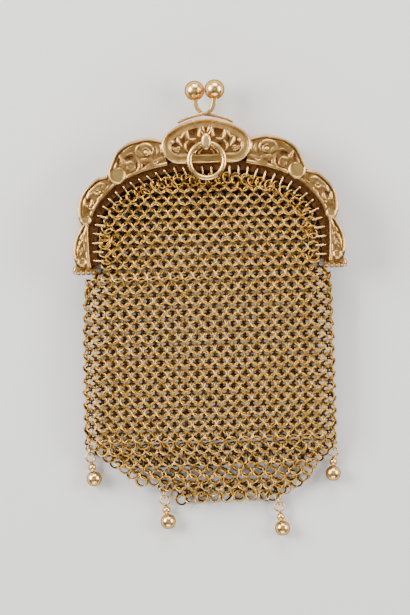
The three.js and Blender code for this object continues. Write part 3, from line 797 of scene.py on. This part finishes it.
def gold(name, colour, dark, roughness, scale=600, shade_and_patch_colour=None, edge=0.8):
    """Gilt metal with random tone, darkened at grazing angles as painted shade; with a colour for painted
    shade and darker patches it also reads the tone of each vertex.
    """
    material = bpy.data.materials.new(name)
    material.use_nodes = True
    tree = material.node_tree
    nodes, links = tree.nodes, tree.links
    shader = nodes["Principled BSDF"]
    shader.inputs["Metallic"].default_value = 1.0
    place = nodes.new("ShaderNodeTexCoord")

    def noise(size, detail):
        node = nodes.new("ShaderNodeTexNoise")
        node.inputs["Scale"].default_value = size
        node.inputs["Detail"].default_value = detail
        links.new(place.outputs["Object"], node.inputs["Vector"])
        return node.outputs["Fac"]

    def mix(factor, first, second):
        node = nodes.new("ShaderNodeMix")
        node.data_type = "RGBA"
        links.new(factor, node.inputs["Factor"])
        for socket, value in ((node.inputs[6], first), (node.inputs[7], second)):
            if isinstance(value, tuple):
                socket.default_value = (*value, 1)
            else:
                links.new(value, socket)
        return node.outputs[2]

    def ramp(value, low, high, start=0.0, end=1.0):
        node = nodes.new("ShaderNodeMapRange")
        node.inputs["From Min"].default_value = low
        node.inputs["From Max"].default_value = high
        node.inputs["To Min"].default_value = start
        node.inputs["To Max"].default_value = end
        links.new(value, node.inputs["Value"])
        return node.outputs["Result"]

    def combine(operation, first, second):
        node = nodes.new("ShaderNodeMath")
        node.operation = operation
        links.new(first, node.inputs[0])
        links.new(second, node.inputs[1])
        return node.outputs["Value"]

    base = mix(ramp(noise(scale, 4), 0.38, 0.66), colour, dark)
    rough = ramp(noise(scale * 4, 3), 0.3, 0.7, roughness * 0.75, roughness * 1.35)
    if shade_and_patch_colour:
        tone = nodes.new("ShaderNodeAttribute")
        tone.attribute_name = "tone"
        split = nodes.new("ShaderNodeSeparateColor")
        links.new(tone.outputs["Color"], split.inputs["Color"])
        hollow, satin, shade_and_patches = (split.outputs[channel] for channel in ("Red", "Green", "Blue"))
        base = mix(ramp(satin, 0, 1, 0, 0.7), base, SATIN_TINT)
        # Painted highlight: points higher than their surroundings mix towards the pale tint.
        base = mix(ramp(hollow, 0.48, 0.36, 0, 0.6), base, RIDGE_HIGHLIGHT_TINT)
        # Painted shade: points lower than their surroundings mix towards the dark colour.
        base = mix(ramp(hollow, 0.53, 0.64, 0, 0.85), base, shade_and_patch_colour)
        mottle = ramp(noise(2500, 2), 0.35, 0.65, 0.75, 1.0)
        # Painted shade and darker patches from the third tone channel, mottled by noise.
        base = mix(combine("MULTIPLY", ramp(shade_and_patches, 0, 0.75), mottle), base, shade_and_patch_colour)
        rough = combine("ADD", rough, ramp(satin, 0, 1, 0, 0.2))
    facing = nodes.new("ShaderNodeLayerWeight")
    facing.inputs["Blend"].default_value = 0.5
    # Painted shade at grazing angles: rims of round pieces turn dark, most on the ring mesh.
    base = mix(ramp(facing.outputs["Facing"], 0.3, 0.85, 0, edge), base, GRAZING_SHADE_TINT)
    shader.inputs["Specular Tint"].default_value = SPECULAR_TINT
    links.new(base, shader.inputs["Base Color"])
    links.new(rough, shader.inputs["Roughness"])
    return material


# The last colour given to the stamped and ring mesh gold is painted shade, also used for darker patches.
frame_gold = gold("stamped_gold", (0.68, 0.40, 0.13), (0.44, 0.235, 0.065), 0.33,
                  shade_and_patch_colour=(0.105, 0.03, 0.009), edge=0.5)
mesh_gold = gold("ring_mesh_gold", (0.72, 0.39, 0.075), (0.46, 0.23, 0.035), 0.3, scale=900,
                 shade_and_patch_colour=(0.03, 0.012, 0.003), edge=0.85)
bright_gold = gold("polished_gold", (0.90, 0.60, 0.24), (0.80, 0.50, 0.17), 0.27, scale=300, edge=0.75)


# Pieces

def stitch_spots(offset):
    """Where the stitches stand on a line beside the arch, and its direction there."""
    line = arch_line(offset, 81)
    run = run_along(line)
    at = (np.arange(STITCHES) + 0.5) / STITCHES * run[-1]
    return at_length(line, run, at), unit(at_length(line, run, at + 0.3) - at_length(line, run, at - 0.3))


def add_flange(parts, front):
    """The strip that the mesh is sewn to, with its holes."""
    holes, _ = stitch_spots(0.0)
    strip = np.vstack([arch_line(FLANGE_TUCK), arch_line(-FLANGE_LIP)[::-1]])
    step = 0.16 if front else 0.24
    plan, faces, _, _ = clipped_grid([strip], step, holes, STITCH_HOLE)
    shape = slab(plan, faces, np.full(len(plan), FLANGE_TOP), FLANGE_TOP - FLANGE_THICK)
    # The flange is satin 0.4 and painted shade 0.8, dark as if it lay in shadow.
    parts.add(*shape, (0, 0.4, 0.8))


KNUCKLE_SECTION = [(0, -0.425), (0.9, -0.425), (1.02, -0.38), (1.05, -0.3), (1.05, 0.3), (1.02, 0.38),
                   (0.9, 0.425), (0, 0.425)]
KNUCKLE_PITCH, KNUCKLE_GAP, KNUCKLE_END = 0.85, 0.25, 0.4
BOX_FACES = [[0, 1, 3, 2], [4, 6, 7, 5], [0, 4, 5, 1], [2, 3, 7, 6], [0, 2, 6, 4], [1, 5, 7, 3]]


def add_knuckles(parts, front):
    """Two of the four knuckles on each side, turn and turn about with the other half, and their webs."""
    for side in (-1, 1):
        for k in range(0 if front else 1, 4, 2):
            x = side * (SPAN - KNUCKLE_END - KNUCKLE_PITCH * (k + 0.5) - KNUCKLE_GAP * k)
            vertices, faces = lathe(KNUCKLE_SECTION, 40, "x")
            parts.add(vertices + (x, 0, 0), faces)
            web = [(x + half, y, z) for half in (-0.4, 0.4) for y in (0, 2.4) for z in (0.15, 2.6)]
            parts.add(web, BOX_FACES)


LUG_SHARE = 0.839
RING_GAP, RING_WIRE, LUG_OVER = 0.3, 0.635, 0.95
LUG_STRETCH = (1.15, 1.9, 1)


def add_lug(parts):
    """The oval knob on the cartouche that the carry ring passes through."""
    top = CREST + RING_GAP + RING_WIRE + LUG_OVER
    profile = [(0, CREST - 1.2), (1.0, CREST - 1.2), (1.0, top - 0.4)]
    profile += [(math.cos(a)**0.5, top - 0.4 + 0.8 * math.sin(a)) for a in np.linspace(0.1, 1.5, 12)]
    profile += [(0, top + 0.4)]
    vertices, faces = lathe(profile, 48)
    # The lug's tone of -0.3 gives it the strongest painted highlight.
    parts.add(vertices * LUG_STRETCH + (0, LUG_SHARE * RISE, 0), faces, (-0.3, 0, 0))


def frame_half(front):
    step = 0.12 if front else 0.18
    plan, faces, places, shape = clipped_grid(frame_plan(), step)
    height, satin, shade_and_patches = frame_heights(plan, front)
    height = 0.5 * height + 0.5 * blurred(height, places, shape, 1)
    # How far each point lies below its blurred surroundings; the material paints shade in hollows and
    # highlights on ridges from it.
    hollow = blurred(height, places, shape, max(1, round(0.3 / step))) - height
    vertices, faces = slab(plan, faces, height, HALF_GAP)
    tone = np.zeros((len(vertices), 3))
    tone[:len(plan)] = np.c_[hollow, satin, shade_and_patches]
    parts = Parts()
    parts.add(vertices, faces, tone)
    add_flange(parts, front)
    add_knuckles(parts, front)
    if front:
        add_lug(parts)
    name = "frame_front_relief" if front else "frame_back_relief"
    vertices = half_to_model(np.vstack(parts.vertices), front)
    obj = new_object(name, vertices, parts.faces, frame_gold, 50)
    set_tone(obj, *np.vstack(parts.tones).T)
    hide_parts("frame_front" if front else "frame_back")


def jitter(count, amount):
    return rng.normal(0, amount, count)


# Each row of rings has columns x, y, z, normal (3), tilt and unrest.

def sheet_row(y, parity, tilt, pitch, reach, is_front):
    """Rings of one row inside the arch, where front and back are two sheets."""
    left, right, _, _, _ = bag_row(y)
    shift = (parity if is_front else 1 - parity) / 2
    x = (left + right) / 2 + (np.arange(-SHEET_REACH, SHEET_REACH + 1) + shift) * pitch
    spots = np.c_[x, np.full(len(x), y)]
    z = wall_height(y, is_front)
    return [(*spot, z, 0, 0, 1 if is_front else -1, tilt, 0) for spot in spots[inside(spots, reach)]]


def tube_row(y, parity, tilt):
    """Rings of one row round the closed tube, those of the front and those of the back."""
    left, right, back, front, _ = bag_row(y)
    middle = (left + right) / 2
    line = bag_section(y)
    run = run_along(line)
    low = smooth(y, TUBE_BOTTOM, TUBE_BOTTOM - 2)
    count = MESH_COLUMNS if y > TUBE_BOTTOM else int(run[-1] / RING_PITCH + 0.5)
    at = (np.arange(count) + parity / 2) / count * run[-1]
    x, z = at_length(line, run, at).T
    ahead, behind = (at_length(line, run, (at + way) % run[-1]) for way in (0.5, -0.5))
    tx, tz = (ahead - behind).T
    is_front = z > (back + front) / 2
    rows = np.c_[x - low * 0.7 * np.sign(x - middle) * np.abs(tz), np.full(count, y), z,
                 -tz * (1 - 0.7 * low), np.zeros(count), tx + low * np.where(is_front, 0.8, -0.8),
                 np.full(count, tilt), np.full(count, low)]
    return rows[is_front], rows[~is_front]


def ring_rows():
    """All rings of the front and of the back."""
    corners = np.array([(23.9, 1.6), (23.9, -8)])
    gathers = {True: arch_line(-2.5), False: arch_line(-1.7)}
    reach = {key: np.vstack([corners[::-1] * (-1, 1), line[line[:, 1] > 1.7], corners])
             for key, line in gathers.items()}
    pitch = run_along(bag_section(TUBE_TOP))[-1] / MESH_COLUMNS
    found = {True: [], False: []}
    for number, y in enumerate(np.arange(gathers[False][:, 1].max(), -BAG_DROP + 0.9, -ROW_PITCH)):
        parity = number % 2
        tilt = RING_TILT if parity else -RING_TILT
        if y > TUBE_TOP:
            rows = [sheet_row(y, parity, tilt, pitch, reach[key], key) for key in (True, False)]
        else:
            rows = tube_row(y, parity, tilt)
        found[True].extend(rows[0])
        found[False].extend(rows[1])
    for is_front, offset in ((True, -2.5), (False, -2)):
        for (x, y), way in zip(*stitch_spots(offset)):
            normal = (way[0] * 0.5, way[1] * 0.5, 1 if is_front else -1)
            found[is_front].append((x, y, wall_height(y, is_front), *normal, 0.0, 0.9))
    return found


def mesh_rings():
    """Lattice of linked rings: two sheets inside the arch, one closed tube below the hinges."""
    around, sides = ((16, 6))
    found = ring_rows()
    frame_edge = arch_line(0)
    for is_front in (True, False):
        rows = np.array(found[is_front])
        nearness, _ = line_distance(rows[:, :2], frame_edge)
        unrest = np.maximum(rows[:, 7] * 0.5, smooth(nearness, 7, 3) * (rows[:, 1] > 0) * 0.8)
        unrest = np.maximum(unrest, smooth(rows[:, 1], -43, -50))
        count = len(rows)
        tilt = rows[:, 6] + jitter(count, 0.06) + unrest * jitter(count, 0.24)
        spin = jitter(count, 0.06) + unrest * jitter(count, 0.24)
        centres = rows[:, :3] + np.c_[jitter(count, 0.04), jitter(count, 0.04), jitter(count, 0.03)]
        centres += unrest[:, None] * np.c_[jitter(count, 0.14), jitter(count, 0.14), jitter(count, 0.1)]
        split = np.median(centres[:, 1])
        wire = WIRE_RADIUS if is_front else BACK_WIRE_RADIUS
        for part, chosen in (("upper", centres[:, 1] >= split), ("lower", centres[:, 1] < split)):
            vertices, faces, inward = place_rings(centres[chosen], rows[chosen, 3:6], tilt[chosen],
                                                  spin[chosen], wire, around, sides)
            vertices[:, 2] = np.maximum(vertices[:, 2], 0.005)
            name = f"mesh_{'front' if is_front else 'back'}_{part}"
            obj = new_object(name, to_model(vertices), faces, mesh_gold, 0)
            nothing = np.zeros(len(vertices))
            # Painted shade: each wire's side that faces into the bag is darkened.
            set_tone(obj, nothing, nothing, smooth(inward, -0.2, 0.5))
            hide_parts("mesh_bag")


def stitch_loop(length, height, wire, around, sides):
    """Closed wire loop with rounded corners, in the plane of x and z."""
    turn = turns(around)
    c, s = np.cos(turn), np.sin(turn)
    line = np.c_[length / 2 * np.sign(c) * np.abs(c)**0.5, height / 2 * np.sign(s) * np.abs(s)**0.5]
    along = unit(np.roll(line, -1, axis=0) - np.roll(line, 1, axis=0))
    angle = turns(sides)
    c, s = np.cos(angle), np.sin(angle)
    x = line[:, :1] + along[:, 1:] * wire * c
    z = line[:, 1:] - along[:, :1] * wire * c
    y = np.tile(wire * s, (around, 1))
    return np.c_[x.ravel(), y.ravel(), z.ravel()], wrapped_faces(around, sides)[:, [0, 3, 2, 1]]


def stitches():
    around, sides = ((28, 8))
    spots, along = stitch_spots(-0.9)
    count = len(spots)
    loop = stitch_loop(STITCH_LENGTH, STITCH_HEIGHT, STITCH_WIRE, around, sides)
    up = np.tile((0, 0, 1.0), (count, 1))
    for front in (True, False):
        level = MID_Z + (FLANGE_TOP - FLANGE_THICK / 2 + 0.05) * (1 if front else -1)
        lean = 0.3 * smooth(spots[:, 0], 4, -6) * smooth(spots[:, 0], -22, -14) + jitter(count, 0.1)
        c, s = np.cos(lean), np.sin(lean)
        tangent = np.c_[along[:, 0] * c - along[:, 1] * s, along[:, 0] * s + along[:, 1] * c, np.zeros(count)]
        across = np.c_[-tangent[:, 1], tangent[:, 0], np.zeros(count)]
        vertices, faces = copies(*loop, np.c_[spots, np.full(count, level)], across, tangent, up)
        name = f"stitch_rings_{'front' if front else 'back'}"
        new_object(name, to_model(vertices), faces, bright_gold, 0)


def carry_ring():
    centre = (ring_low + ring_high) / 2
    radius = (ring_high[0] - ring_low[0]) / 2
    wire = (ring_high[2] - ring_low[2]) / 2
    vertices, faces = torus_template(radius - wire, wire, 128, 28)
    obj = new_object("carry_ring_wire", vertices + centre, faces, bright_gold, 0, body="ring")
    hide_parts("carry_ring")


def ball(radius, rows=32, sides=48):
    profile = [(0, radius)] + [(radius * math.sin(a), radius * math.cos(a))
                               for a in np.linspace(0, math.pi, rows + 1)[1:-1]] + [(0, -radius)]
    return lathe(profile, sides)


# Shares of the balls' spread and rise, and half the width
ARM_LINE = [(-2.74, -0.1, 0.26), (-2.2, -0.01, 0.27), (-1.6, 0.065, 0.28), (-0.6, 0.148, 0.3),
            (0.1, 0.2, 0.34), (0.6, 0.31, 0.43), (0.88, 0.5, 0.51), (0.95, 0.66, 0.55), (0.97, 0.8, 0.6)]
ARM_LOW, ARM_HIGH, ARM_CORNER, ARM_STEPS = 0.25, 1.95, 0.16, 70
BALL_RADIUS = 2.2
BALL_SPREAD = 2.2
BALL_RISE = 6.45
BALL_STAGGER = 1.0


def clasp_arm(front):
    rows = np.array(ARM_LINE)
    line = spline(rows[:, :2] * (BALL_SPREAD, BALL_RISE) + (0, RISE), ARM_STEPS)
    half = np.interp(np.linspace(0, len(rows) - 1, ARM_STEPS), np.arange(len(rows)), rows[:, 2])
    along = unit(np.gradient(line, axis=0))
    normal = np.c_[-along[:, 1], along[:, 0]]
    section = []
    for cx, cz, start in ((1, 1, 0), (-1, 1, 90), (-1, -1, 180), (1, -1, 270)):
        for a in (0, 30, 60, 90):
            angle = math.radians(start + a)
            section.append((cx, cz, math.cos(angle), math.sin(angle)))
    n = len(section)
    vertices = []
    for point, side, h in zip(line, normal, half):
        for cx, cz, c, s in section:
            offset = cx * (h - ARM_CORNER) + ARM_CORNER * c
            z = (ARM_LOW + ARM_HIGH) / 2 + cz * ((ARM_HIGH - ARM_LOW) / 2 - ARM_CORNER) + ARM_CORNER * s
            vertices.append((*(point + side * offset), z))
    faces = []
    for k in range(len(line) - 1):
        for i in range(n):
            j = (i + 1) % n
            faces.append([k * n + i, (k + 1) * n + i, (k + 1) * n + j, k * n + j])
    faces.append(list(range(n)))
    faces.append([(len(line) - 1) * n + i for i in reversed(range(n))])
    parts = Parts()
    parts.add(vertices, faces)
    vertices, faces = ball(BALL_RADIUS)
    parts.add(vertices + (BALL_SPREAD, RISE + BALL_RISE, BALL_STAGGER), faces)
    word = "front" if front else "back"
    obj = new_object(f"clasp_{word}", half_to_model(np.vstack(parts.vertices), front), parts.faces,
                     bright_gold, 50)
    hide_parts(f"clasp_arm_{word}")


def pins():
    for name, side in (("left", -1), ("right", 1)):
        low, high = box_mm(f"hinge_pin_{name}")
        inner, outer = (high[0], low[0]) if side < 0 else (low[0], high[0])
        length = abs(outer - inner)
        profile = [(0, 0), (0.6, 0), (0.72, 0.08), (0.72, 0.25), (0.45, 0.27), (0.45, length - 0.62),
                   (0.95, length - 0.6)]
        profile += [(0.95 * math.cos(a), length - 0.5 + 0.5 * math.sin(a)) for a in np.linspace(0.1, 1.4, 8)]
        profile += [(0, length)]
        vertices, faces = lathe(profile, 40, "x")
        vertices = vertices * (side, 1, 1) + (inner, HINGE_Y, MID_Z)
        if side < 0:
            faces = [face[::-1] for face in faces]
        obj = new_object(f"pin_{name}", vertices, faces, bright_gold, 50)
        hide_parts(f"hinge_pin_{name}")


# Shares of the bag's half width and drop, and the lean in degrees
DROPS = [(-0.979, 0.746, 7.6), (-0.415, 0.936, 7.3), (0.468, 0.979, 6.8), (0.912, 0.753, -2.3)]
DROP_BALL, DROP_BEAD, DROP_NECK, DROP_WIRE = 1.67, 0.86, 0.4, 0.2
EYE_RADIUS, LINK_RADIUS, EYELET_RADIUS, DROP_PLAY = 1.0, 0.8, 0.7, 0.1


def drops():
    link_step = EYELET_RADIUS + LINK_RADIUS - 2 * DROP_WIRE - DROP_PLAY
    eye_step = LINK_RADIUS + EYE_RADIUS - 2 * DROP_WIRE - DROP_PLAY
    for number, (x, y, lean) in enumerate(DROPS, 1):
        start = np.array((x * BAG_HALF_WIDTH, -y * BAG_DROP, DROP_BALL))
        a = math.radians(lean)
        down = np.array((math.sin(a), -math.cos(a), 0))
        right = np.array((math.cos(a), math.sin(a), 0))
        up = np.array((0, 0, 1.0))

        def placed(vertices, centre):
            v = np.asarray(vertices)
            return to_model(centre + v[:, :1] * right - v[:, 1:2] * down + v[:, 2:] * up)

        vertices, faces = torus_template(LINK_RADIUS, DROP_WIRE, 40, 12)
        obj = new_object(f"link_{number}", placed(vertices[:, [2, 0, 1]], start + down * link_step), faces,
                         bright_gold, 0)
        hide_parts(f"drop_link_{number}")
        vertices, faces = torus_template(EYELET_RADIUS, DROP_WIRE, 36, 10)
        vertices = placed(vertices, start)
        new_object(f"eyelet_{number}", vertices, faces, bright_gold, 0)

        parts = Parts()
        bead_y = -EYE_RADIUS - DROP_NECK - DROP_BEAD
        ball_y = bead_y - DROP_BEAD - DROP_BALL
        profile = [(0, -EYE_RADIUS), (0.34, -EYE_RADIUS - 0.05), (0.3, bead_y + DROP_BEAD + 0.02)]
        for centre, radius in ((bead_y, DROP_BEAD), (ball_y, DROP_BALL)):
            angles = np.linspace(0.3 if radius == DROP_BEAD else 0.25, math.pi - 0.3, 22)
            profile += [(radius * math.sin(t), centre + radius * math.cos(t)) for t in angles]
            if radius == DROP_BEAD:
                profile += [(0.26, centre - radius)]
        profile += [(0, ball_y - DROP_BALL)]
        vertices, faces = lathe(profile, 48, "y")
        parts.add(vertices, faces)
        vertices, faces = torus_template(EYE_RADIUS, DROP_WIRE, 40, 12)
        parts.add(vertices, faces)
        everything = placed(np.vstack(parts.vertices), start + down * (link_step + eye_step))
        obj = new_object(f"ball_drop_{number}", everything, parts.faces, bright_gold, 50)
        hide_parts(f"drop_{number}")


# Camera, floor and lights

VIEW_HEIGHT = 135.3
VIEW_DISTANCE = 700.0
VIEW_SHIFT = (-1.38, 0.5)
VIEW_TURN = -1.8
FLOOR_SIZE = 3.0
SKY = [(0.0, 0.1), (0.5, 0.1), (0.6, 0.2), (0.9, 0.25), (0.93, 0.4), (0.97, 1.5), (1.0, 1.5)]
SOFTBOXES = [
    # name, place and size in metres, power
    ("key", (-0.5, 0.2, 0.36), (0.45, 0.3), 8.5),
    ("right", (0.5, 0.1, 0.32), (0.4, 0.25), 4.5),
    ("top", (0.05, 0.55, 0.34), (0.5, 0.25), 4.5),
    ("bottom", (0.0, -0.55, 0.3), (0.5, 0.2), 2.5),
]


def linked(name, data):
    obj = bpy.data.objects.new(name, data)
    bpy.context.scene.collection.objects.link(obj)
    return obj


def studio():
    camera_data = bpy.data.cameras.new("camera")
    camera = linked("camera", camera_data)
    bpy.context.scene.camera = camera
    camera_data.sensor_width = 36
    camera_data.lens = 36 * VIEW_DISTANCE / VIEW_HEIGHT
    camera_data.clip_end = 10
    camera.location = (VIEW_SHIFT[0] * MM, VIEW_SHIFT[1] * MM, (MID_Z + VIEW_DISTANCE) * MM)
    camera.rotation_euler = (0, 0, math.radians(VIEW_TURN))

    mesh = bpy.data.meshes.new("floor")
    corners = [(x * FLOOR_SIZE, y * FLOOR_SIZE, 0) for x, y in ((-1, -1), (1, -1), (1, 1), (-1, 1))]
    mesh.from_pydata(corners, [], [(0, 1, 2, 3)])
    floor = linked("floor", mesh)
    material = bpy.data.materials.new("pale_floor")
    material.use_nodes = True
    shader = material.node_tree.nodes["Principled BSDF"]
    shader.inputs["Base Color"].default_value = (0.68, 0.67, 0.655, 1)
    shader.inputs["Roughness"].default_value = 0.75
    mesh.materials.append(material)

    world = bpy.data.worlds.new("studio")
    bpy.context.scene.world = world
    world.use_nodes = True
    nodes, links = world.node_tree.nodes, world.node_tree.links
    background = nodes["Background"]
    place = nodes.new("ShaderNodeTexCoord")
    split = nodes.new("ShaderNodeSeparateXYZ")
    ramp = nodes.new("ShaderNodeValToRGB")
    links.new(place.outputs["Generated"], split.inputs["Vector"])
    links.new(split.outputs["Z"], ramp.inputs["Fac"])
    links.new(ramp.outputs["Color"], background.inputs["Color"])
    while len(ramp.color_ramp.elements) < len(SKY):
        ramp.color_ramp.elements.new(0.5)
    for element, (at, value) in zip(ramp.color_ramp.elements, SKY):
        element.position = at
        element.color = (value, value, value, 1)
    background.inputs["Strength"].default_value = 0.5

    for name, place, size, power in SOFTBOXES:
        data = bpy.data.lights.new(name, "AREA")
        data.shape = "RECTANGLE"
        data.size, data.size_y = size
        data.energy = power
        light = linked(name, data)
        light.location = place
        light.rotation_euler = (-Vector(place)).to_track_quat("-Z", "Y").to_euler()


studio()
frame_half(True)
frame_half(False)
mesh_rings()
stitches()
carry_ring()
clasp_arm(True)
clasp_arm(False)
pins()
drops()
